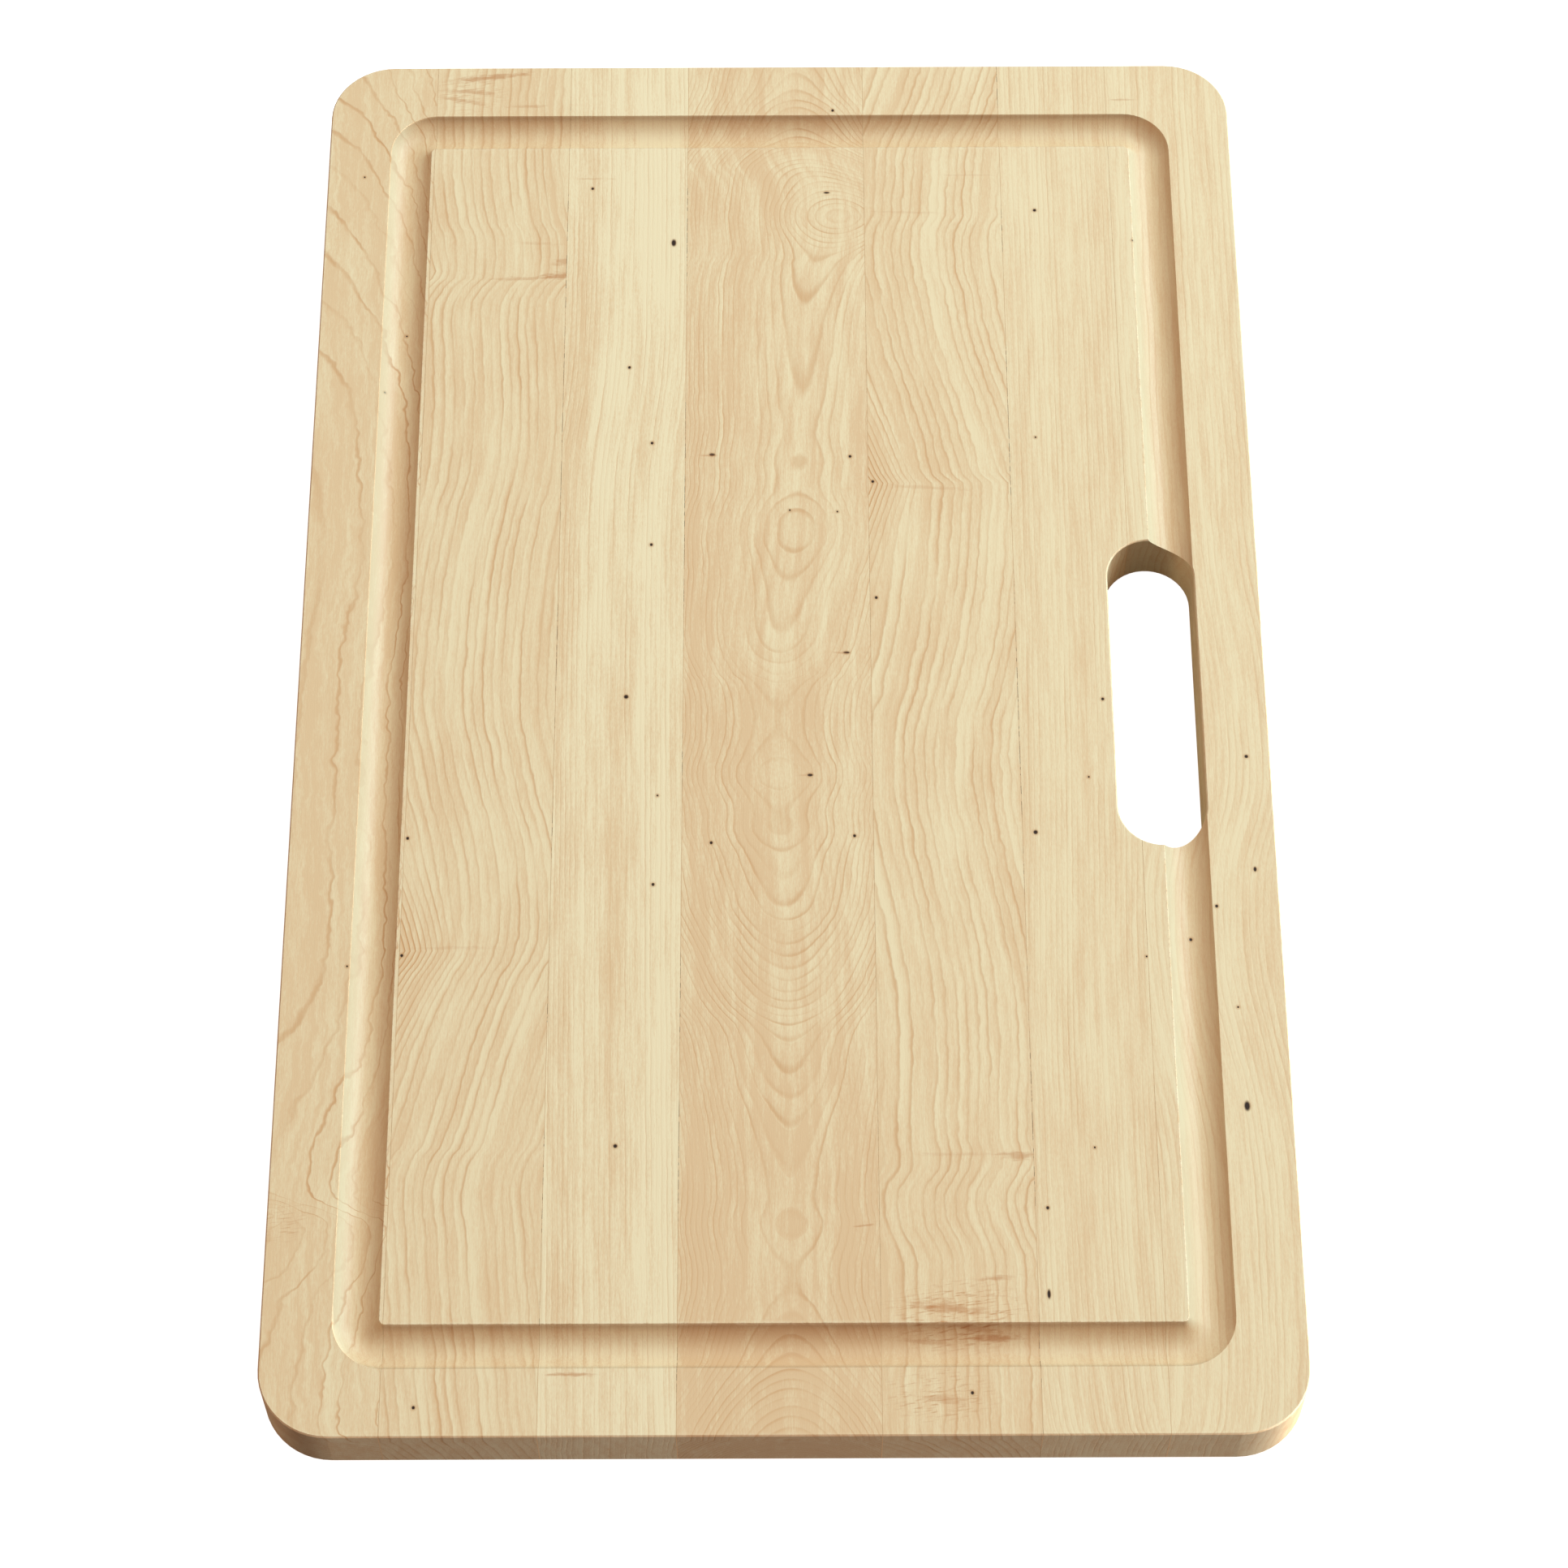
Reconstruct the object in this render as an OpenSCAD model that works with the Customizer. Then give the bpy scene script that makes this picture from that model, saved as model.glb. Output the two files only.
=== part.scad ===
// Maple cutting board: seven staves glued edge to edge, with a juice groove and a handle slot.
// Millimetres. The origin is at the centre of the underside, with the staves running along Y.
// The work surface faces +Z and the handle slot is on the +X side.

/* [Board] */
// Width of the board, across the staves
board_w = 298; // [290:1:310]
// Length of the board, along the staves
board_l = 482.5; // [440:0.5:520]
// Thickness of the planed boards
board_t = 19; // [17:0.5:25]
// Radius of the board's corners, seen from above
corner_r = 20.5; // [18:0.5:24]
// Bevel sanded on the outside edges and on the rims of the slot
arris = 0.4; // [0.2:0.1:0.8]

/* [Juice groove] */
// Distance from the edge of the board to the groove
groove_margin = 20.3; // [19:0.1:22]
// Radius of the round-nosed cutter that makes the groove
cutter_r = 7.9; // [7:0.1:8]
// Depth of the groove below the work surface
groove_d = 3.8; // [3:0.1:5]
// Radius of the path that the cutter follows round a corner
turn_r = 8.4; // [8.1:0.1:12]

/* [Handle slot] */
// Width of the slot
slot_w = 27; // [26:0.5:30]
// Length of the slot, over its round ends
slot_l = 108; // [90:1:130]
// Distance from the edge of the board to the slot
slot_margin = 20.2; // [18:0.1:21]

/* [Staves] */
// Width of the stave along the left edge
left_edge_w = 34.9; // [32:0.1:38]
// Width of the second stave from the left
left_outer_w = 44.5; // [40:0.1:48]
// Width of the third stave from the left
left_inner_w = 39.2; // [35:0.1:43]
// Width of the stave in the middle
centre_w = 58; // [54:0.1:62]
// Width of the third stave from the right
right_inner_w = 45; // [41:0.1:49]
// Width of the second stave from the right; the last stave takes what is left
right_outer_w = 36; // [33:0.1:39]
// Thickness of the cured glue between two staves
glue_t = 0.15; // [0.1:0.05:0.3]

/* [Hidden] */

round_fn = 96;
over = 1; // how far a cutting shape runs past the face that it cuts

glue_colour = "#b98f5c";

stave_widths = [left_edge_w, left_outer_w, left_inner_w, centre_w, right_inner_w, right_outer_w];

// Sum of the first n stave widths
function widths_before(n) = n == 0 ? 0 : stave_widths[n - 1] + widths_before(n - 1);

// X of the middle of glue line n, counted from 1 at the left
function seam_x(n) = widths_before(n) - board_w / 2;

groove_w = 2 * sqrt(pow(cutter_r, 2) - pow(cutter_r - groove_d, 2));
groove_x = board_w / 2 - groove_margin - groove_w / 2;
groove_y = board_l / 2 - groove_margin - groove_w / 2;
cutter_z = board_t - groove_d + cutter_r;

slot_r = slot_w / 2;
slot_x = board_w / 2 - slot_margin - slot_r;

// One upright edge of a plate, from its lower face to its upper face, with a bevel at each
function plate_edge(x) = [[x - arris, 0], [x, arris], [x, board_t - arris], [x - arris, board_t]];

// The upright wall of a hole through the board, flared at both faces so that the rims are bevelled
function hole_edge(x) = [
    [x + arris + over, -over], [x, arris], [x, board_t - arris], [x + arris + over, board_t + over]
];

// A section from the middle out to one edge
function half_section(edge) = concat([[0, edge[0].y]], edge, [[0, edge[len(edge) - 1].y]]);

// A section with the same edge on both sides
function full_section(edge) = concat(edge, [for (i = [len(edge) - 1:-1:0]) [-edge[i].x, edge[i].y]]);

// Puts a quarter turn at each of four corners, x and y from the middle
module at_corners(x, y) {
    for (i = [0:3])
        translate([i == 0 || i == 3 ? x : -x, i < 2 ? y : -y, 0]) rotate([0, 0, 90 * i]) children();
}

// Runs a section along Y, with its own X across and its own Y upwards
module run_along_y(length) {
    rotate([90, 0, 0]) linear_extrude(height = length, center = true) children();
}

// Runs a section along X, with its own X across and its own Y upwards
module run_along_x(length) {
    rotate([90, 0, 90]) linear_extrude(height = length, center = true) children();
}

// The board before the groove and the slot are cut
module blank() {
    middle_x = board_w / 2 - corner_r;
    middle_y = board_l / 2 - corner_r;
    run_along_y(2 * middle_y) polygon(full_section(plate_edge(board_w / 2)));
    for (i = [0:1])
        rotate([0, 0, 180 * i]) translate([0, middle_y, 0])
            run_along_x(2 * middle_x) polygon(half_section(plate_edge(corner_r)));
    at_corners(middle_x, middle_y)
        rotate_extrude(angle = 90, $fn = round_fn) polygon(half_section(plate_edge(corner_r)));
}

// The space that the cutter sweeps on its way round the groove
module groove_space() {
    straight_x = groove_x - turn_r;
    straight_y = groove_y - turn_r;
    translate([0, 0, cutter_z]) {
        for (side = [-1, 1]) {
            translate([side * groove_x, 0, 0]) rotate([90, 0, 0])
                cylinder(h = 2 * straight_y, r = cutter_r, center = true, $fn = round_fn);
            translate([0, side * groove_y, 0]) rotate([0, 90, 0])
                cylinder(h = 2 * straight_x, r = cutter_r, center = true, $fn = round_fn);
        }
        at_corners(straight_x, straight_y) rotate_extrude(angle = 90, $fn = round_fn)
            translate([turn_r, 0]) circle(r = cutter_r, $fn = round_fn);
    }
}

// The space of the handle slot, which has round ends and bevelled rims
module slot_space() {
    straight = slot_l - slot_w;
    translate([slot_x, 0, 0]) {
        run_along_y(straight) polygon(full_section(hole_edge(slot_r)));
        for (i = [0:1])
            rotate([0, 0, 180 * i]) translate([0, straight / 2, 0])
                rotate_extrude(angle = 180, $fn = round_fn) polygon(half_section(hole_edge(slot_r)));
    }
}

module board() {
    difference() {
        blank();
        groove_space();
        slot_space();
    }
}

// The part of the board between two X positions
module board_between(x_from, x_to) {
    intersection() {
        board();
        translate([x_from, -board_l / 2 - over, -over])
            cube([x_to - x_from, board_l + 2 * over, board_t + 2 * over]);
    }
}

// The stave after glue line n and before the next one
module stave(n) {
    x_from = n == 0 ? -board_w / 2 - over : seam_x(n) + glue_t / 2;
    x_to = n == 6 ? board_w / 2 + over : seam_x(n + 1) - glue_t / 2;
    board_between(x_from, x_to);
}

// The cured film of glue in seam n
module glue_line(n) {
    board_between(seam_x(n) - glue_t / 2, seam_x(n) + glue_t / 2);
}

module left_edge_stave() { color("#e2caa1") stave(0); }
module left_outer_stave() { color("#e5cfa7") stave(1); }
module left_inner_stave() { color("#ecddb8") stave(2); }
module centre_stave() { color("#e3cca4") stave(3); }
module right_inner_stave() { color("#e7d4ae") stave(4); }
module right_outer_stave() { color("#eadbb4") stave(5); }
module right_edge_stave() { color("#e9dab3") stave(6); }

module glue_line_1() { color(glue_colour) glue_line(1); }
module glue_line_2() { color(glue_colour) glue_line(2); }
module glue_line_3() { color(glue_colour) glue_line(3); }
module glue_line_4() { color(glue_colour) glue_line(4); }
module glue_line_5() { color(glue_colour) glue_line(5); }
module glue_line_6() { color(glue_colour) glue_line(6); }

left_edge_stave();
left_outer_stave();
left_inner_stave();
centre_stave();
right_inner_stave();
right_outer_stave();
right_edge_stave();
glue_line_1();
glue_line_2();
glue_line_3();
glue_line_4();
glue_line_5();
glue_line_6();
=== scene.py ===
from math import radians

import bpy
from mathutils import Euler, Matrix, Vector


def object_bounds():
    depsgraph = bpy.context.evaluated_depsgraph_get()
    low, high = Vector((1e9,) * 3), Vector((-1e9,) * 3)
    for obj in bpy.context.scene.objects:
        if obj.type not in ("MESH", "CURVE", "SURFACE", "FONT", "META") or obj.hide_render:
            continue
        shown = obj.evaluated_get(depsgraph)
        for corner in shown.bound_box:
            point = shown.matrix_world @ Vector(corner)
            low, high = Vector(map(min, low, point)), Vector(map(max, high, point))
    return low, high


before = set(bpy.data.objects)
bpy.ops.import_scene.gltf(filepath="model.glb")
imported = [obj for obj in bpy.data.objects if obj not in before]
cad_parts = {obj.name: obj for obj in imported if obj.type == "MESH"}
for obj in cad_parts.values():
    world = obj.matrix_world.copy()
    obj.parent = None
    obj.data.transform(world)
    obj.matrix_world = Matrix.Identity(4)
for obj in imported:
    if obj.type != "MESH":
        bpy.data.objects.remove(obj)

cad_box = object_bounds()

MM = 0.001
BOARD_LOW, BOARD_HIGH = cad_box
TOP_Z = BOARD_HIGH.z / MM

# Camera, in millimetres and degrees
CAMERA_PLACE = Vector((0.2, -653.1, 1152.3))
CAMERA_PITCH_DOWN = 61.305
CAMERA_YAW = 0.034
CAMERA_ROLL = -0.184
CAMERA_LENS = 97.55
CAMERA_SENSOR = 36.0

# Light: a large soft box behind the board and to its right, a low strip at the front right, and
# an even warm fill. Each light is (direction, distance, (width, height), power, colour), in metres
# and watts.
SOFT_BOX = ((0.555, 0.483, 0.678), 4.5, (2.6, 2.6), 219.0, (0.73, 0.945, 1.0))
EDGE_STRIP = ((0.95, -0.33, 0.0125), 2.2, (1.0, 0.05), 60.0, (1.0, 0.93, 0.88))
FILL_COLOUR = (1.0, 0.68, 0.53)
FILL_STRENGTH = 0.45

# Studio floor: half its width in metres, how far each plane lies under the board in millimetres,
# how pale each plane is, and how brightly the one that is seen glows
FLOOR_HALF = 6.0
FLOOR_SEEN_BELOW = 0.2
FLOOR_SEEN_TINT = 0.5
FLOOR_SEEN_GLOW = 0.95
FLOOR_RETURN_BELOW = 0.4
FLOOR_RETURN_TINT = 0.42
FLOOR_ROUGHNESS = 0.9

# Colours, as sRGB values from 0 to 255
PALE = (240, 225, 187)
WARM = (230, 203, 162)
RING = (210, 166, 118)
DARK_KNOT = (48, 30, 19)
KNOT_HALO = (196, 150, 100)
MINERAL = (192, 134, 84)
END_GRAIN = (198, 202, 207)
GROOVE_PAINTED_SHADE = (245, 236, 229)
GROOVE_PAINTED_HIGHLIGHT = (226, 222, 193)
WORN_AND_HIGHLIGHT = (243, 235, 206)
NICK = (158, 122, 84)
GLUE = (206, 172, 130)
OPEN_JOINT = (96, 66, 40)

# Sizes of the lumps in each noise, in millimetres along x, y and z
JITTER_SIZE = (2.2, 3.6, 3.0)
FADING_SIZE = (9.0, 35.0, 9.0)
FIBRE_SIZE = (0.42, 7.0, 0.42)
FLECK_SIZE = (0.30, 1.3, 0.30)
MOTTLE_SIZE = (2.2, 34.0, 5.0)
BAND_SIZE = (9.0, 260.0, 14.0)
RAGGED_SIZE = (3.0, 0.9, 3.0)
DASH_SIZE = (4.0, 0.6, 6.0)
RUB_SIZE = (3.0, 3.0, 3.0)
NICK_SIZE = (0.9, 0.9, 0.9)
GLUE_COARSE_SIZE = (40.0, 26.0, 40.0)
GLUE_FINE_SIZE = (40.0, 1.6, 40.0)

# The figure hardly changes down to the bottom of the groove, and follows the rings below that
FIGURE_DEPTH = 3.8
FIGURE_SLANT = 0.12
# How much closer the rings crowd at the middle of an eye, and how much darker they are there
EYE_SHARPNESS = 1.6
EYE_CONTRAST = 2.2

# The line of a ring, in parts of its width: how far along the line its crest lies, how soon it
# falls after that, and where the softer shade before it starts, ends and falls
LINE_CREST = 0.6
LINE_FALL = 0.02
SHADE_START = 0.10
SHADE_END = 0.80
SHADE_FALL = 0.88
# The strength of the faintest ring's line, and of a line in the places where it fades, where 1 is full
FAINTEST_LINE = 0.25
FADED_LINE = 0.35

# How far each noise moves the wood between its pale colour, 0, and its warm one, 1
MOTTLE_SWING = 1.0
BAND_SWING = 0.6
FIBRE_SWING = 0.55
FLECK_SWING = 0.55
RING_SWING = 0.16

# Marks: how far the halo of a pin knot reaches past it in millimetres, how strong it is, how ragged
# the end of a streak is, and how the dashes of a burr slope
HALO_REACH = 0.8
HALO_STRENGTH = 0.55
STREAK_RAGGED = 0.8
DASH_SLOPE = -0.12

# Groove, darkened with painted shade and made glossier: the depth from which this is full, in
# millimetres, how much of the painted shade is lost on walls that face right, towards the lights, and
# how strong the painted highlight on those walls is instead
GROOVE_SHADE_AND_GLOSS_DEPTH = 0.4
SHADE_LOSS_FACING_LIGHT = 0.85
GROOVE_HIGHLIGHT_STRENGTH = 0.5

# Edges that show wear: centre x, half width, half length and corner radius, in millimetres
WORN_EDGES = {
    "outline": (0.0, 149.0, 241.25, 20.5),
    "groove_inner": (0.0, 115.2, 207.45, 1.65),
    "slot": (115.3, 13.5, 54.0, 13.5),
}
# How far rubbing and nicks reach from an edge in millimetres, how strong they are, and how much
# painted highlight is added to the rubbing on edges that face right, towards the lights
RUB_REACH = 1.1
RUB_STRENGTH = 0.30
EDGE_HIGHLIGHT_EXTRA = 0.5
NICK_REACH = 0.45
NICK_STRENGTH = 0.28

# Surface: relief of the wood, with the depth that it stands for in metres, gloss and roughness
FIBRE_RELIEF = 0.5
FLECK_RELIEF = 0.3
LINE_RELIEF = -0.5
KNOT_RELIEF = -2.0
BUMP_STRENGTH = 0.55
GLUE_BUMP_STRENGTH = 0.5
BUMP_DEPTH = 0.0001
WOOD_ROUGHNESS = 0.50
GLUE_ROUGHNESS = 0.45
GLOSS = 0.25
BURNISHED_GLOSS = 0.15
# How dark the gaps are along a seam that looks closed
CLOSED_SEAM = 0.25


def srgb(colour):
    """A linear colour from 0 to 255 sRGB values."""
    parts = [c / 255 for c in colour]
    linear = [p / 12.92 if p <= 0.04045 else ((p + 0.055) / 1.055) ** 2.4 for p in parts]
    return (*linear, 1.0)


class Graph:
    """Builds the shader nodes of one material. Each method returns the socket with its result."""

    def __init__(self, name):
        self.material = bpy.data.materials.new(name)
        self.material.use_nodes = True
        self.tree = self.material.node_tree
        self.tree.nodes.clear()

    def add(self, kind, **settings):
        node = self.tree.nodes.new(kind)
        for name, value in settings.items():
            setattr(node, name, value)
        return node

    def feed(self, socket, value):
        if isinstance(value, bpy.types.NodeSocket):
            self.tree.links.new(value, socket)
        else:
            socket.default_value = value

    def math(self, operation, *values, clamp=False):
        node = self.add("ShaderNodeMath", operation=operation, use_clamp=clamp)
        for socket, value in zip(node.inputs, values):
            self.feed(socket, value)
        return node.outputs[0]

    def total(self, *values):
        result = values[0]
        for value in values[1:]:
            result = self.math("ADD", result, value)
        return result

    def product(self, *values):
        result = values[0]
        for value in values[1:]:
            result = self.math("MULTIPLY", result, value)
        return result

    def step(self, value, start, end, low=0.0, high=1.0):
        node = self.add("ShaderNodeMapRange", interpolation_type="SMOOTHSTEP")
        for socket, setting in zip(node.inputs, (value, start, end, low, high)):
            self.feed(socket, setting)
        return node.outputs[0]

    def place(self):
        """x, y and z of the surface, in millimetres."""
        point = self.add("ShaderNodeTexCoord").outputs["Object"]
        split = self.add("ShaderNodeSeparateXYZ")
        self.feed(split.inputs[0], point)
        return [self.math("DIVIDE", split.outputs[i], MM) for i in range(3)]

    def noise(self, xyz, size, detail=1.0, roughness=0.5):
        """Noise from 0 to 1 whose lumps measure size millimetres along x, y and z."""
        joined = self.add("ShaderNodeCombineXYZ")
        for socket, value, length in zip(joined.inputs, xyz, size):
            self.feed(socket, self.math("DIVIDE", value, length))
        node = self.add("ShaderNodeTexNoise")
        self.feed(node.inputs["Vector"], joined.outputs[0])
        self.feed(node.inputs["Scale"], 1.0)
        self.feed(node.inputs["Detail"], detail)
        self.feed(node.inputs["Roughness"], roughness)
        return node.outputs[0]

    def swing(self, noise, amount):
        """Noise turned into a value that swings about zero."""
        return self.math("MULTIPLY_ADD", noise, 2 * amount, -amount)

    def scatter(self, value):
        node = self.add("ShaderNodeTexWhiteNoise", noise_dimensions="1D")
        self.feed(node.inputs["W"], value)
        return node.outputs[0]

    def curve(self, value, points):
        """A smooth curve through given points, (position, height) in ascending order."""
        first, last = points[0][0], points[-1][0]
        heights = [height for _, height in points]
        low, high = min(heights), max(heights)
        span = max(high - low, 1e-6)
        node = self.add("ShaderNodeFloatCurve")
        line = node.mapping.curves[0]
        while len(line.points) < len(points):
            line.points.new(0.5, 0.5)
        for point, (position, height) in zip(line.points, points):
            point.location = ((position - first) / (last - first), (height - low) / span)
            point.handle_type = "AUTO"
        node.mapping.update()
        self.feed(node.inputs["Value"], self.step_linear(value, first, last))
        return self.math("MULTIPLY_ADD", node.outputs[0], span, low)

    def step_linear(self, value, start, end):
        node = self.add("ShaderNodeMapRange")
        for socket, setting in zip(node.inputs, (value, start, end, 0.0, 1.0)):
            self.feed(socket, setting)
        return node.outputs[0]

    def mix(self, factor, first, second, blend="MIX"):
        node = self.add("ShaderNodeMix", data_type="RGBA", blend_type=blend)
        self.feed(node.inputs[0], factor)
        self.feed(node.inputs[6], first)
        self.feed(node.inputs[7], second)
        return node.outputs[2]

    def away(self, xyz, spot, radii, slope=0.0):
        """How far the surface is from a spot, where 1 is the edge of its ellipse."""
        beside = self.math("SUBTRACT", xyz[0], spot[0])
        beyond = self.math("SUBTRACT", xyz[1], spot[1])
        if slope:
            beyond = self.math("MULTIPLY_ADD", beside, -slope, beyond)
        across = self.math("DIVIDE", beside, radii[0])
        along = self.math("DIVIDE", beyond, radii[1])
        squares = self.total(self.math("POWER", across, 2.0), self.math("POWER", along, 2.0))
        return self.math("SQRT", squares)


def edge_nearness(g, xyz, reach):
    """1 along the worn edges of the two faces, falling to 0 within a reach in millimetres."""
    x, y, z = xyz
    inside = g.math("MINIMUM", z, g.math("SUBTRACT", TOP_Z, z))
    level = g.step(inside, reach, 0.0)
    near_any = None
    for centre, half_width, half_length, radius in WORN_EDGES.values():
        beside = g.math("ABSOLUTE", g.math("SUBTRACT", x, centre))
        past_x = g.math("MAXIMUM", g.math("SUBTRACT", beside, half_width - radius), 0.0)
        past_y = g.math("MAXIMUM", g.math("SUBTRACT", g.math("ABSOLUTE", y), half_length - radius), 0.0)
        squares = g.total(g.product(past_x, past_x), g.product(past_y, past_y))
        off = g.math("ABSOLUTE", g.math("SUBTRACT", g.math("SQRT", squares), radius))
        near = g.step(off, reach, 0.0)
        near_any = near if near_any is None else g.math("MAXIMUM", near_any, near)
    return g.product(near_any, level)


def ring_phase(g, xyz, wood):
    """How many rings lie between the heart of the tree and the surface, where that is across the
    stave, and how near the middle of an eye is."""
    x, y, z = xyz
    wander = g.swing(g.noise(xyz, wood["wander_size"], 2.0), wood["wander"])
    jitter = g.swing(g.noise(xyz, JITTER_SIZE, 1.0), wood["jitter"])
    across = g.total(g.math("SUBTRACT", x, g.curve(y, wood["drift"])), wander, jitter)
    from_heart_x = g.math("SUBTRACT", across, wood["heart"][0])
    depth = g.math("SUBTRACT", TOP_Z, z)
    below_groove = g.math("MAXIMUM", g.math("SUBTRACT", depth, FIGURE_DEPTH), 0.0)
    depth_seen = g.math("MULTIPLY_ADD", depth, FIGURE_SLANT, g.product(below_groove, 1 - FIGURE_SLANT))
    heart_depth = TOP_Z - wood["heart"][1]
    from_heart_z = g.math("SUBTRACT", heart_depth, depth_seen)
    squares = g.total(g.product(from_heart_x, from_heart_x), g.product(from_heart_z, from_heart_z))
    outwards = g.math("SUBTRACT", g.math("SQRT", squares), heart_depth)
    phase = g.total(g.math("DIVIDE", outwards, wood["ring"]), g.curve(y, wood["rise"]))
    for spot, radii, height in wood["swirls"]:
        near = g.step(g.away(xyz, spot, radii), 1.0, 0.0)
        phase = g.math("MULTIPLY_ADD", near, height, phase)
    eye = None
    for spot, reach, height in wood["eyes"]:
        beside = g.math("ABSOLUTE", g.math("SUBTRACT", x, spot[0]))
        beyond = g.math("ABSOLUTE", g.math("SUBTRACT", y, spot[1]))
        away = g.total(g.math("DIVIDE", beside, reach[0]), g.math("DIVIDE", beyond, reach[1]))
        near = g.math("POWER", g.math("SUBTRACT", 1.0, away, clamp=True), EYE_SHARPNESS)
        phase = g.math("MULTIPLY_ADD", near, height, phase)
        eye = near if eye is None else g.math("MAXIMUM", eye, near)
    return phase, across, eye


def ring_line(g, xyz, phase, count, eye, wood):
    """How dark the line of a ring is, from 0 to 1: each ring differs, and each fades in places."""
    part = g.math("SUBTRACT", phase, count)
    strength = g.math("MULTIPLY_ADD", g.scatter(count), 1 - FAINTEST_LINE, FAINTEST_LINE)
    crest = wood["onset"] + LINE_CREST * (1 - wood["onset"])
    sharp = g.product(g.step(part, wood["onset"], crest), g.step(part, 1.0, crest + LINE_FALL))
    soft = g.product(g.step(part, SHADE_START, SHADE_END), g.step(part, 1.0, SHADE_FALL))
    fading = g.step(g.noise(xyz, FADING_SIZE, 1.0), 0.30, 0.62, FADED_LINE, 1.0)
    both = g.total(g.product(sharp, 1 - wood["soft"]), g.product(soft, wood["soft"]))
    line = g.product(both, strength, fading)
    if eye is None:
        return line
    return g.math("MAXIMUM", line, g.product(both, eye, EYE_CONTRAST))


def wood_tone(g, xyz, across, count, fibre, fleck, wood):
    """Where the wood lies between its pale colour and its warm one, from 0 to 1."""
    x, y, z = xyz
    mottle = g.noise((across, y, z), MOTTLE_SIZE, 2.0, 0.55)
    band = g.noise((across, y, z), BAND_SIZE, 1.0)
    ring_tone = g.scatter(g.math("ADD", count, 0.5))
    tone = g.total(
        wood["tone"],
        g.swing(mottle, MOTTLE_SWING),
        g.swing(band, BAND_SWING),
        g.swing(fibre, FIBRE_SWING),
        g.swing(fleck, FLECK_SWING),
        g.swing(ring_tone, RING_SWING),
    )
    for spot, radii, amount in wood["patches"]:
        near = g.step(g.away(xyz, spot, radii), 1.0, 0.0)
        tone = g.math("MULTIPLY_ADD", near, amount, tone)
    return g.math("ADD", tone, 0.0, clamp=True)


def add_knots(g, xyz, colour, wood):
    """Pin knots, each with a halo. Returns the colour and where the knots are."""
    marks = None
    for spot, radii in wood["knots"]:
        near = g.step(g.away(xyz, spot, radii), 1.25, 0.55)
        halo = g.step(g.away(xyz, spot, [r + HALO_REACH for r in radii]), 1.0, 0.3)
        colour = g.mix(g.product(halo, HALO_STRENGTH), colour, srgb(KNOT_HALO))
        colour = g.mix(near, colour, srgb(DARK_KNOT))
        marks = near if marks is None else g.math("MAXIMUM", marks, near)
    return colour, marks


def add_streaks(g, xyz, colour, wood):
    """Mineral streaks with ragged ends."""
    if not wood["streaks"]:
        return colour
    ragged = g.swing(g.noise(xyz, RAGGED_SIZE, 2.0), STREAK_RAGGED)
    for spot, radii, slope, amount in wood["streaks"]:
        away = g.math("ADD", g.away(xyz, spot, radii, slope), ragged)
        near = g.step(away, 1.1, 0.2)
        colour = g.mix(g.product(near, amount), colour, srgb(MINERAL))
    return colour


def add_burrs(g, xyz, colour, wood):
    """Patches of torn grain, made of short dashes across the stave."""
    if not wood["burrs"]:
        return colour
    x, y, z = xyz
    sloped = g.math("MULTIPLY_ADD", x, DASH_SLOPE, y)
    dashes = g.step(g.noise((x, sloped, z), DASH_SIZE, 3.0), 0.50, 0.74)
    for spot, radii, amount in wood["burrs"]:
        near = g.step(g.away(xyz, spot, radii), 1.0, 0.3)
        colour = g.mix(g.product(near, dashes, amount), colour, srgb(MINERAL))
    return colour


def add_finish(g, xyz, colour):
    """End grain, painted shade in the groove with a painted highlight on its walls that face right, the
    groove's gloss, and worn edges with a painted highlight where they face right. Returns the colour,
    where the groove is shaded and glossy, and where the wood is rubbed."""
    facing = g.add("ShaderNodeSeparateXYZ")
    g.feed(facing.inputs[0], g.add("ShaderNodeTexCoord").outputs["Normal"])
    faces_x, faces_y, faces_z = facing.outputs
    end_grain = g.step(g.math("ABSOLUTE", faces_y), 0.6, 1.0)
    colour = g.mix(end_grain, colour, srgb(END_GRAIN), "MULTIPLY")
    depth = g.math("SUBTRACT", TOP_Z, xyz[2])
    # The groove: painted shade darkens its walls and floor, and it is made glossier
    groove_shade_and_gloss = g.product(g.step(depth, 0.0, GROOVE_SHADE_AND_GLOSS_DEPTH), g.step(faces_z, 0.25, 0.5))
    # Walls that face right face the lights: they lose most of the painted shade and get a painted
    # highlight
    faces_right = g.step(faces_x, 0.25, 0.80)
    groove_shaded = g.product(groove_shade_and_gloss, g.math("MULTIPLY_ADD", faces_right, -SHADE_LOSS_FACING_LIGHT, 1.0))
    colour = g.mix(groove_shaded, colour, srgb(GROOVE_PAINTED_SHADE), "MULTIPLY")
    colour = g.mix(g.product(groove_shade_and_gloss, faces_right, GROOVE_HIGHLIGHT_STRENGTH), colour, srgb(GROOVE_PAINTED_HIGHLIGHT))
    rub_spots = g.step(g.noise(xyz, RUB_SIZE, 2.0), 0.35, 0.65)
    rubbed = g.product(edge_nearness(g, xyz, RUB_REACH), rub_spots)
    # Rubbed edges turn paler; on edges that face right, towards the lights, a painted highlight is added
    wear_and_highlight = g.product(rubbed, g.math("MULTIPLY_ADD", faces_right, EDGE_HIGHLIGHT_EXTRA, RUB_STRENGTH))
    colour = g.mix(wear_and_highlight, colour, srgb(WORN_AND_HIGHLIGHT))
    nick_spots = g.step(g.noise(xyz, NICK_SIZE, 1.0), 0.52, 0.68)
    nicked = g.product(edge_nearness(g, xyz, NICK_REACH), nick_spots)
    colour = g.mix(g.product(nicked, NICK_STRENGTH), colour, srgb(NICK))
    return colour, groove_shade_and_gloss, rubbed


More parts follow.
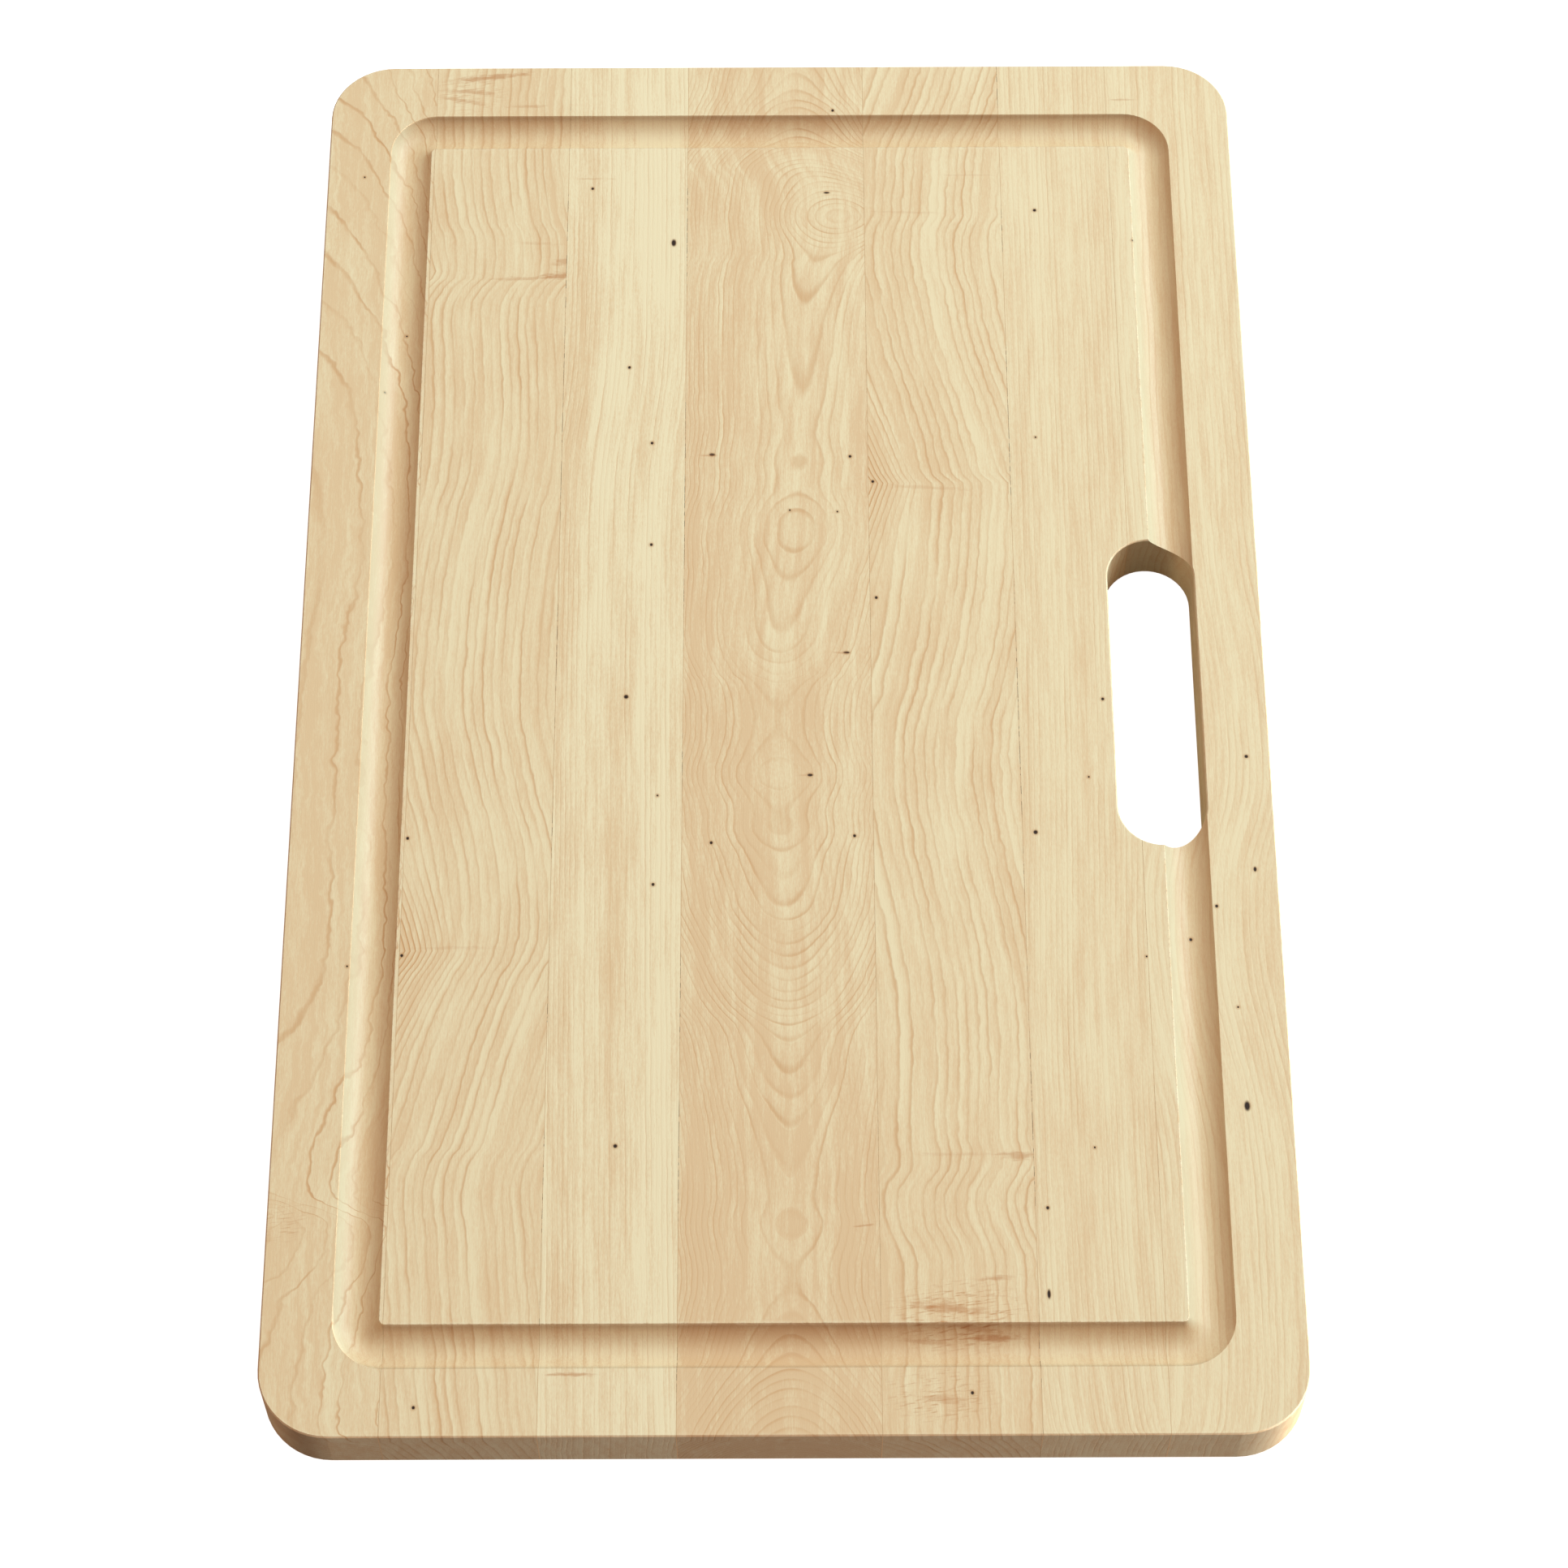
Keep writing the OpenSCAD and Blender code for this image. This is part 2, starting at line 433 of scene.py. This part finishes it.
def finish_shader(g, colour, roughness, gloss, relief, bump_strength):
    """Ends a material with a surface of this colour, roughness, gloss and relief."""
    bump = g.add("ShaderNodeBump")
    g.feed(bump.inputs["Strength"], bump_strength)
    g.feed(bump.inputs["Distance"], BUMP_DEPTH)
    g.feed(bump.inputs["Height"], relief)
    shader = g.add("ShaderNodeBsdfPrincipled")
    g.feed(shader.inputs["Base Color"], colour)
    g.feed(shader.inputs["Roughness"], roughness)
    g.feed(shader.inputs["Specular IOR Level"], gloss)
    g.feed(shader.inputs["Normal"], bump.outputs[0])
    out = g.add("ShaderNodeOutputMaterial")
    g.feed(out.inputs["Surface"], shader.outputs[0])
    return g.material


def wood_material(name, wood):
    """Maple: rings, fibres, patches of pale and warm wood, pin knots, streaks, worn edges, and painted
    shade and highlight in the groove and painted highlight on edges that face right.
    """
    g = Graph(name)
    xyz = g.place()
    phase, across, eye = ring_phase(g, xyz, wood)
    count = g.math("FLOOR", phase)
    line = ring_line(g, xyz, phase, count, eye, wood)
    fibre = g.noise(xyz, FIBRE_SIZE, 2.0, 0.6)
    fleck = g.noise(xyz, FLECK_SIZE, 1.0)
    tone = wood_tone(g, xyz, across, count, fibre, fleck, wood)
    colour = g.mix(tone, srgb(wood["pale"]), srgb(wood["warm"]))
    colour = g.mix(g.product(line, wood["line"]), colour, srgb(RING))
    colour, marks = add_knots(g, xyz, colour, wood)
    colour = add_streaks(g, xyz, colour, wood)
    colour = add_burrs(g, xyz, colour, wood)
    colour, groove_shade_and_gloss, rubbed = add_finish(g, xyz, colour)
    relief = g.total(
        g.product(fibre, FIBRE_RELIEF),
        g.product(fleck, FLECK_RELIEF),
        g.product(line, LINE_RELIEF),
    )
    if marks is not None:
        relief = g.math("MULTIPLY_ADD", marks, KNOT_RELIEF, relief)
    roughness = g.total(
        WOOD_ROUGHNESS,
        g.product(fibre, 0.16),
        g.product(line, 0.08),
        g.product(rubbed, 0.10),
        g.product(groove_shade_and_gloss, -0.12),
    )
    gloss = g.math("MULTIPLY_ADD", groove_shade_and_gloss, BURNISHED_GLOSS, GLOSS)
    return finish_shader(g, colour, roughness, gloss, relief, BUMP_STRENGTH)


def glue_material(name, gap):
    """A cured glue line, mostly the colour of the wood, with dark hairline gaps along it."""
    g = Graph(name)
    xyz = g.place()
    coarse = g.noise(xyz, GLUE_COARSE_SIZE, 2.0)
    fine = g.noise(xyz, GLUE_FINE_SIZE, 1.0)
    open_joint = g.product(g.step(coarse, 0.42, 0.60), g.step(fine, 0.40, 0.56), gap)
    colour = g.mix(open_joint, srgb(GLUE), srgb(OPEN_JOINT))
    roughness = g.math("MULTIPLY_ADD", fine, 0.2, GLUE_ROUGHNESS)
    relief = g.product(open_joint, -1.0)
    return finish_shader(g, colour, roughness, GLOSS, relief, GLUE_BUMP_STRENGTH)


# The staves, in millimetres, with y along the stave. heart is where the heart of the tree lay (x, z)
# and ring how far apart its rings are. wander and jitter are how far the rings swing, coarsely and
# finely. drift moves them sideways along the stave, and rise adds rings along it. swirls and eyes
# are (middle, radii, rings added). patches and burrs are (middle, radii, strength), knots (middle,
# radii) and streaks (middle, radii, slope, strength). tone lies between pale, 0, and warm, 1. line
# is how dark the rings are, onset where in a ring its line starts, and soft how soft the line is.
SMALL = (0.50, 0.56)
TINY = (0.31, 0.34)
STRAIGHT = [(-242, 0), (242, 0)]

LEFT_EDGE = {
    "heart": (-156, -95), "ring": 1.7, "wander": 3.0, "wander_size": (11, 9, 24), "jitter": 0.9,
    "drift": [(-242, 0), (-172, -6), (-120, 2), (-60, 0), (0, -3), (60, 2), (120, 0), (242, 0)],
    "rise": [(-242, 1), (-200, 0), (-178, -1.5), (-166, 1.5), (-80, 0), (100, 0), (125, 0.7), (150, 2),
             (191, 4.2), (213, 5.6), (234, 7), (242, 7.4)],
    "swirls": [((-147.6, -172.7), (9, 6), -2.0)],
    "eyes": [],
    "patches": [((-138, -20), (9, 34), 0.25)],
    "knots": [((-137, 196), TINY), ((-127, 112), TINY), ((-121, 135), TINY), ((-129.5, -94), TINY)],
    "streaks": [],
    "burrs": [((-144, -176), (12, 9), 0.35)],
    "tone": 0.60, "onset": 0.80, "line": 1.0, "soft": 0.06, "pale": PALE, "warm": WARM,
}
LEFT_OUTER = {
    "heart": (-150, -13), "ring": 2.6, "wander": 0.9, "wander_size": (7, 10, 12), "jitter": 0.28,
    "drift": [(-242, -12), (-210, -16), (-178, -19), (-168, -20), (-152, -15), (-140, -12), (-120, -7),
              (-98, 0), (-88, 4.5), (-80, 5.5), (-70, 5), (-50, 2), (-35, -2), (-20, -5), (0, -8),
              (30, -7), (65, -3), (80, 0), (100, 1), (125, 0), (140, -1), (149, 1), (154, 4), (157, 6),
              (165, 6), (178, 3), (192, 1), (207, 0), (242, 1)],
    "rise": STRAIGHT,
    "swirls": [],
    "eyes": [((-115, -89), (27, 44), -6.5), ((-118, 158), (15, 26), -2.5)],
    "patches": [((-116, -88), (18, 50), 0.40), ((-114, -90), (8, 10), 0.5), ((-116, 163), (11, 22), 0.4),
                ((-114, 105), (8, 42), 0.4), ((-104, -25), (9, 40), 0.3), ((-85, 190), (6, 40), -0.35),
                ((-84, 120), (3, 60), -0.3)],
    "knots": [((-113.2, -51), SMALL), ((-113.4, -90.5), SMALL), ((-104.5, -232.5), SMALL)],
    "streaks": [((-72, 156), (8, 1.6), 0.06, 0.62), ((-84, 155), (12, 0.9), 0.03, 0.35),
                ((-71, 161.5), (3.5, 1.8), 0.0, 0.42), ((-80, 169), (10, 0.8), -0.04, 0.18),
                ((-97, 237), (16, 1.5), 0.13, 0.62), ((-103, 231), (10, 1.2), -0.1, 0.45),
                ((-106, 227.5), (9, 1.0), -0.2, 0.40), ((-84, 225), (8, 0.9), 0.0, 0.35),
                ((-98, -88), (16, 0.8), 0.0, 0.16)],
    "burrs": [((-103, 231), (16, 12), 0.45)],
    "tone": 0.44, "onset": 0.60, "line": 0.76, "soft": 0.36, "pale": PALE, "warm": WARM,
}
LEFT_INNER = {
    "heart": (60, 5), "ring": 1.5, "wander": 0.5, "wander_size": (9, 30, 12), "jitter": 0.25,
    "drift": [(-242, 3), (-60, 0), (60, -1), (140, 4), (242, 3)],
    "rise": STRAIGHT,
    "swirls": [],
    "eyes": [],
    "patches": [((-42, 185), (13, 80), -0.7), ((-52, 60), (10, 90), -0.3), ((-64, 100), (5, 120), 0.25)],
    "knots": [((-61.7, 191), SMALL), ((-34.8, 169), (0.8, 1.45)), ((-48.6, 120), SMALL),
              ((-41, 91), SMALL), ((-40.8, 53), SMALL), ((-47.9, -2), (0.75, 0.75)),
              ((-37.9, -36.6), TINY), ((-38.9, -67), SMALL), ((-48.9, -152.5), (0.65, 0.65))],
    "streaks": [((-62, 195), (8, 0.5), 0.0, 0.3), ((-61, -222.8), (9, 0.7), 0.0, 0.6)],
    "burrs": [],
    "tone": 0.28, "onset": 0.60, "line": 0.42, "soft": 0.36, "pale": (243, 230, 193), "warm": WARM,
}
CENTRE = {
    "heart": (0, -7), "ring": 1.15, "wander": 0.7, "wander_size": (9, 11, 14), "jitter": 0.28,
    "drift": [(-242, 2), (-100, 1.5), (-30, -1), (0, -1), (58, 4.5), (107, 6.5), (143, 8), (160, 11),
              (172, 14), (185, 14), (200, 9), (215, 6), (242, 5)],
    "rise": [(-242, 9), (-235, 11), (-229.5, 13), (-224, 15), (-221, 16), (-214, 17.5), (-203.5, 19),
             (-194, 19.86), (-182.3, 19), (-177, 18.6), (-171.7, 19), (-168, 19.1), (-147.7, 18),
             (-138.1, 17), (-130.4, 16), (-119.8, 15), (-114.3, 14), (-109, 12), (-103.5, 10),
             (-95.8, 8), (-87.6, 6), (-79.6, 4), (-75, 3), (-66, 2), (-56.5, 1), (-51, 0),
             (-48, -0.27), (-43, -0.19), (-35.3, -1), (-29.5, -1.8), (-22.8, -1), (-10, -0.1),
             (2.4, -1), (5, -2), (9.4, -3), (13, -4), (20, -5), (38.7, -6), (49, -7), (58, -7.7),
             (67, -7), (73.3, -6), (78, -5.93), (84, -6.17), (87.5, -6), (95, -5.56), (107.4, -6),
             (143, -7), (160.3, -8), (172, -9.2), (180, -9.6), (188, -9), (193.5, -8), (198, -6),
             (204.5, -2), (209.5, 1), (217, 4), (224.7, 6), (227.6, 7), (231.9, 8), (242, 9.3)],
    "swirls": [((26, 179.5), (34, 17), -6.0)],
    "eyes": [],
    "patches": [((-26, 0), (9, 230), 0.25), ((0, -225), (80, 190), 0.42)],
    "knots": [((17.6, 222.8), SMALL), ((15.3, 189), (1.0, 0.35)), ((-21.9, 86.5), (1.0, 0.55)),
              ((21.9, 85.7), SMALL), ((2.7, 65.6), TINY), ((17.7, 65), TINY), ((20, 13.5), (1.1, 0.4)),
              ((8.5, -29.7), (0.9, 0.5)), ((-21.5, -52.9), SMALL), ((21.8, -50.7), SMALL)],
    "streaks": [((23.5, -177.6), (5, 0.4), 0.12, 0.5), ((-22.5, 86.3), (3.5, 0.5), 0.0, 0.4),
                ((18.5, 13.4), (3.0, 0.5), -0.05, 0.4), ((6.5, -29.7), (2.6, 0.5), 0.0, 0.3)],
    "burrs": [],
    "tone": 0.65, "onset": 0.60, "line": 0.70, "soft": 0.24, "pale": PALE, "warm": (228, 199, 158),
}
RIGHT_INNER = {
    "heart": (0, -11), "ring": 2.5, "wander": 1.1, "wander_size": (6, 8, 12), "jitter": 0.32,
    "drift": [(-242, 12), (-190, 12), (-170, 7), (-156, 12), (-150, 11), (-120, 12), (-85, 9), (-50, 3),
              (-25, 1), (0, 5), (25, 10), (50, 13), (70, 14.5), (74, 15), (78, 12), (100, 7), (118, 2),
              (135, -2), (150, -4), (168, -6), (180, -3), (195, -2), (207, -1), (222, 5), (242, 11)],
    "rise": STRAIGHT,
    "swirls": [],
    "eyes": [((27, 75.5), (20, 46), -6.5)],
    "patches": [((27, 80), (17, 58), 0.45), ((28, 76), (8, 11), 0.5), ((27, 32), (14, 34), 0.4),
                ((50, -215), (60, 150), 0.38)],
    "knots": [((29, 76.2), SMALL), ((29.5, 33.3), SMALL), ((53, -228.7), SMALL)],
    "streaks": [((46, -203), (14, 1.8), -0.12, 0.6), ((61, -194), (7, 1.0), 0.1, 0.5),
                ((60, -211), (9, 1.3), 0.0, 0.7),
                ((55, -209), (12, 1.2), -0.16, 0.42), ((40, -212), (9, 1.0), -0.1, 0.35),
                ((45, -230.5), (8, 1.5), -0.1, 0.4), ((68, -156), (6, 1.6), 0.0, 0.5),
                ((50, -155.5), (16, 0.8), 0.0, 0.18), ((42, 181), (17, 0.6), -0.03, 0.16),
                ((44, 74), (16, 0.9), -0.06, 0.20), ((62, 196), (10, 0.5), 0.0, 0.14)],
    "burrs": [((50, -205), (25, 13), 0.85), ((44, -229), (20, 11), 0.60)],
    "tone": 0.40, "onset": 0.60, "line": 0.74, "soft": 0.36, "pale": PALE, "warm": WARM,
}
RIGHT_OUTER = {
    "heart": (170, 5), "ring": 1.6, "wander": 0.5, "wander_size": (9, 30, 12), "jitter": 0.25,
    "drift": [(-242, 2), (-150, -3), (0, 0), (242, 1)],
    "rise": STRAIGHT,
    "swirls": [],
    "eyes": [],
    "patches": [((79, -150), (5, 50), 0.35)],
    "knots": [((83.5, 181.6), (0.6, 0.6)), ((81, 92.7), TINY), ((98.6, -3.4), SMALL),
              ((93.3, -30.7), TINY), ((76.5, -49.7), (0.7, 0.75)), ((90.4, -153.5), TINY),
              ((76.1, -172.4), SMALL), ((75.6, -199), (0.5, 1.5)), ((108.2, -91.7), TINY)],
    "streaks": [],
    "burrs": [],
    "tone": 0.31, "onset": 0.60, "line": 0.46, "soft": 0.36, "pale": PALE, "warm": WARM,
}
RIGHT_EDGE = {
    "heart": (220, 5), "ring": 2.0, "wander": 1.0, "wander_size": (12, 30, 14), "jitter": 0.25,
    "drift": [(-242, 0), (-170, 5), (-80, -4), (-20, 5), (60, 0), (242, 0)],
    "rise": STRAIGHT,
    "swirls": [],
    "eyes": [],
    "patches": [],
    "knots": [((141.6, -23.8), (0.6, 0.6)), ((142.1, -62.6), (0.5, 0.85)), ((129.9, -75), SMALL),
              ((122, -84.3), SMALL), ((134.5, -108.5), TINY), ((135.4, -140.5), (0.9, 1.65)),
              ((115.2, 169.4), TINY)],
    "streaks": [((114, 226.8), (5, 0.6), 0.0, 0.35)],
    "burrs": [],
    "tone": 0.34, "onset": 0.60, "line": 0.44, "soft": 0.36, "pale": PALE, "warm": WARM,
}
STAVES = {
    "left_edge_stave": LEFT_EDGE,
    "left_outer_stave": LEFT_OUTER,
    "left_inner_stave": LEFT_INNER,
    "centre_stave": CENTRE,
    "right_inner_stave": RIGHT_INNER,
    "right_outer_stave": RIGHT_OUTER,
    "right_edge_stave": RIGHT_EDGE,
}
# The seams that show hairline gaps, with how dark the gaps are
OPEN_SEAMS = {"glue_line_2": 1.0, "glue_line_3": 1.0, "glue_line_5": 1.0}


def cover(node, material):
    """Gives a CAD node its finish."""
    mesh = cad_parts[node].data
    if not mesh.materials:
        mesh.materials.append(material)
    for slot in range(len(mesh.materials)):
        mesh.materials[slot] = material


def make_camera():
    data = bpy.data.cameras.new("camera")
    data.lens = CAMERA_LENS
    data.sensor_width = CAMERA_SENSOR
    camera = bpy.data.objects.new("camera", data)
    camera.location = CAMERA_PLACE * MM
    look = Euler((radians(90 - CAMERA_PITCH_DOWN), 0.0, radians(-CAMERA_YAW)))
    roll = Euler((0.0, 0.0, radians(CAMERA_ROLL)))
    camera.rotation_euler = (look.to_matrix() @ roll.to_matrix()).to_euler()
    bpy.context.scene.collection.objects.link(camera)
    bpy.context.scene.camera = camera


def make_area_light(name, direction, distance, size, power, colour):
    """A rectangular soft light that faces the middle of the board."""
    data = bpy.data.lights.new(name, "AREA")
    data.shape = "RECTANGLE"
    data.size, data.size_y = size
    data.energy = power
    data.color = colour
    light = bpy.data.objects.new(name, data)
    towards = Vector(direction).normalized()
    light.location = towards * distance
    light.rotation_euler = towards.to_track_quat("Z", "Y").to_euler()
    bpy.context.scene.collection.objects.link(light)


def make_world():
    """An even fill from all round, behind a white background."""
    world = bpy.data.worlds.new("studio")
    world.use_nodes = True
    tree = world.node_tree
    fill = tree.nodes["Background"]
    fill.inputs["Color"].default_value = (*FILL_COLOUR, 1.0)
    fill.inputs["Strength"].default_value = FILL_STRENGTH
    backdrop = tree.nodes.new("ShaderNodeBackground")
    path = tree.nodes.new("ShaderNodeLightPath")
    mix = tree.nodes.new("ShaderNodeMixShader")
    tree.links.new(path.outputs["Is Camera Ray"], mix.inputs[0])
    tree.links.new(fill.outputs[0], mix.inputs[1])
    tree.links.new(backdrop.outputs[0], mix.inputs[2])
    tree.links.new(mix.outputs[0], tree.nodes["World Output"].inputs["Surface"])
    bpy.context.scene.world = world


def make_plane(name, below, tint, glow):
    """A wide level plane just under the board. It belongs to the studio, not to the board."""
    half = FLOOR_HALF
    corners = [(-half, -half, 0), (half, -half, 0), (half, half, 0), (-half, half, 0)]
    mesh = bpy.data.meshes.new(name)
    mesh.from_pydata(corners, [], [(0, 1, 2, 3)])
    plane = bpy.data.objects.new(name, mesh)
    plane.location.z = BOARD_LOW.z - below * MM
    bpy.context.scene.collection.objects.link(plane)
    g = Graph(name)
    shader = g.add("ShaderNodeBsdfPrincipled")
    g.feed(shader.inputs["Base Color"], (tint, tint, tint, 1.0))
    g.feed(shader.inputs["Roughness"], FLOOR_ROUGHNESS)
    g.feed(shader.inputs["Emission Color"], (1.0, 1.0, 1.0, 1.0))
    g.feed(shader.inputs["Emission Strength"], glow)
    out = g.add("ShaderNodeOutputMaterial")
    g.feed(out.inputs["Surface"], shader.outputs[0])
    mesh.materials.append(g.material)
    return plane


def make_floor():
    """The pale floor that is seen, and under it the one that sends light back to the board."""
    seen = make_plane("pale_floor", FLOOR_SEEN_BELOW, FLOOR_SEEN_TINT, FLOOR_SEEN_GLOW)
    seen.visible_diffuse = False
    seen.visible_glossy = False
    returning = make_plane("floor_return", FLOOR_RETURN_BELOW, FLOOR_RETURN_TINT, 0.0)
    returning.visible_camera = False


make_camera()
make_area_light("soft_box", *SOFT_BOX)
make_area_light("edge_strip", *EDGE_STRIP)
make_world()
make_floor()
bpy.context.scene.view_settings.view_transform = "Standard"
for node, wood in STAVES.items():
    cover(node, wood_material(node + "_maple", wood))
for seam in range(1, 7):
    node = f"glue_line_{seam}"
    cover(node, glue_material(node + "_glue", OPEN_SEAMS.get(node, CLOSED_SEAM)))
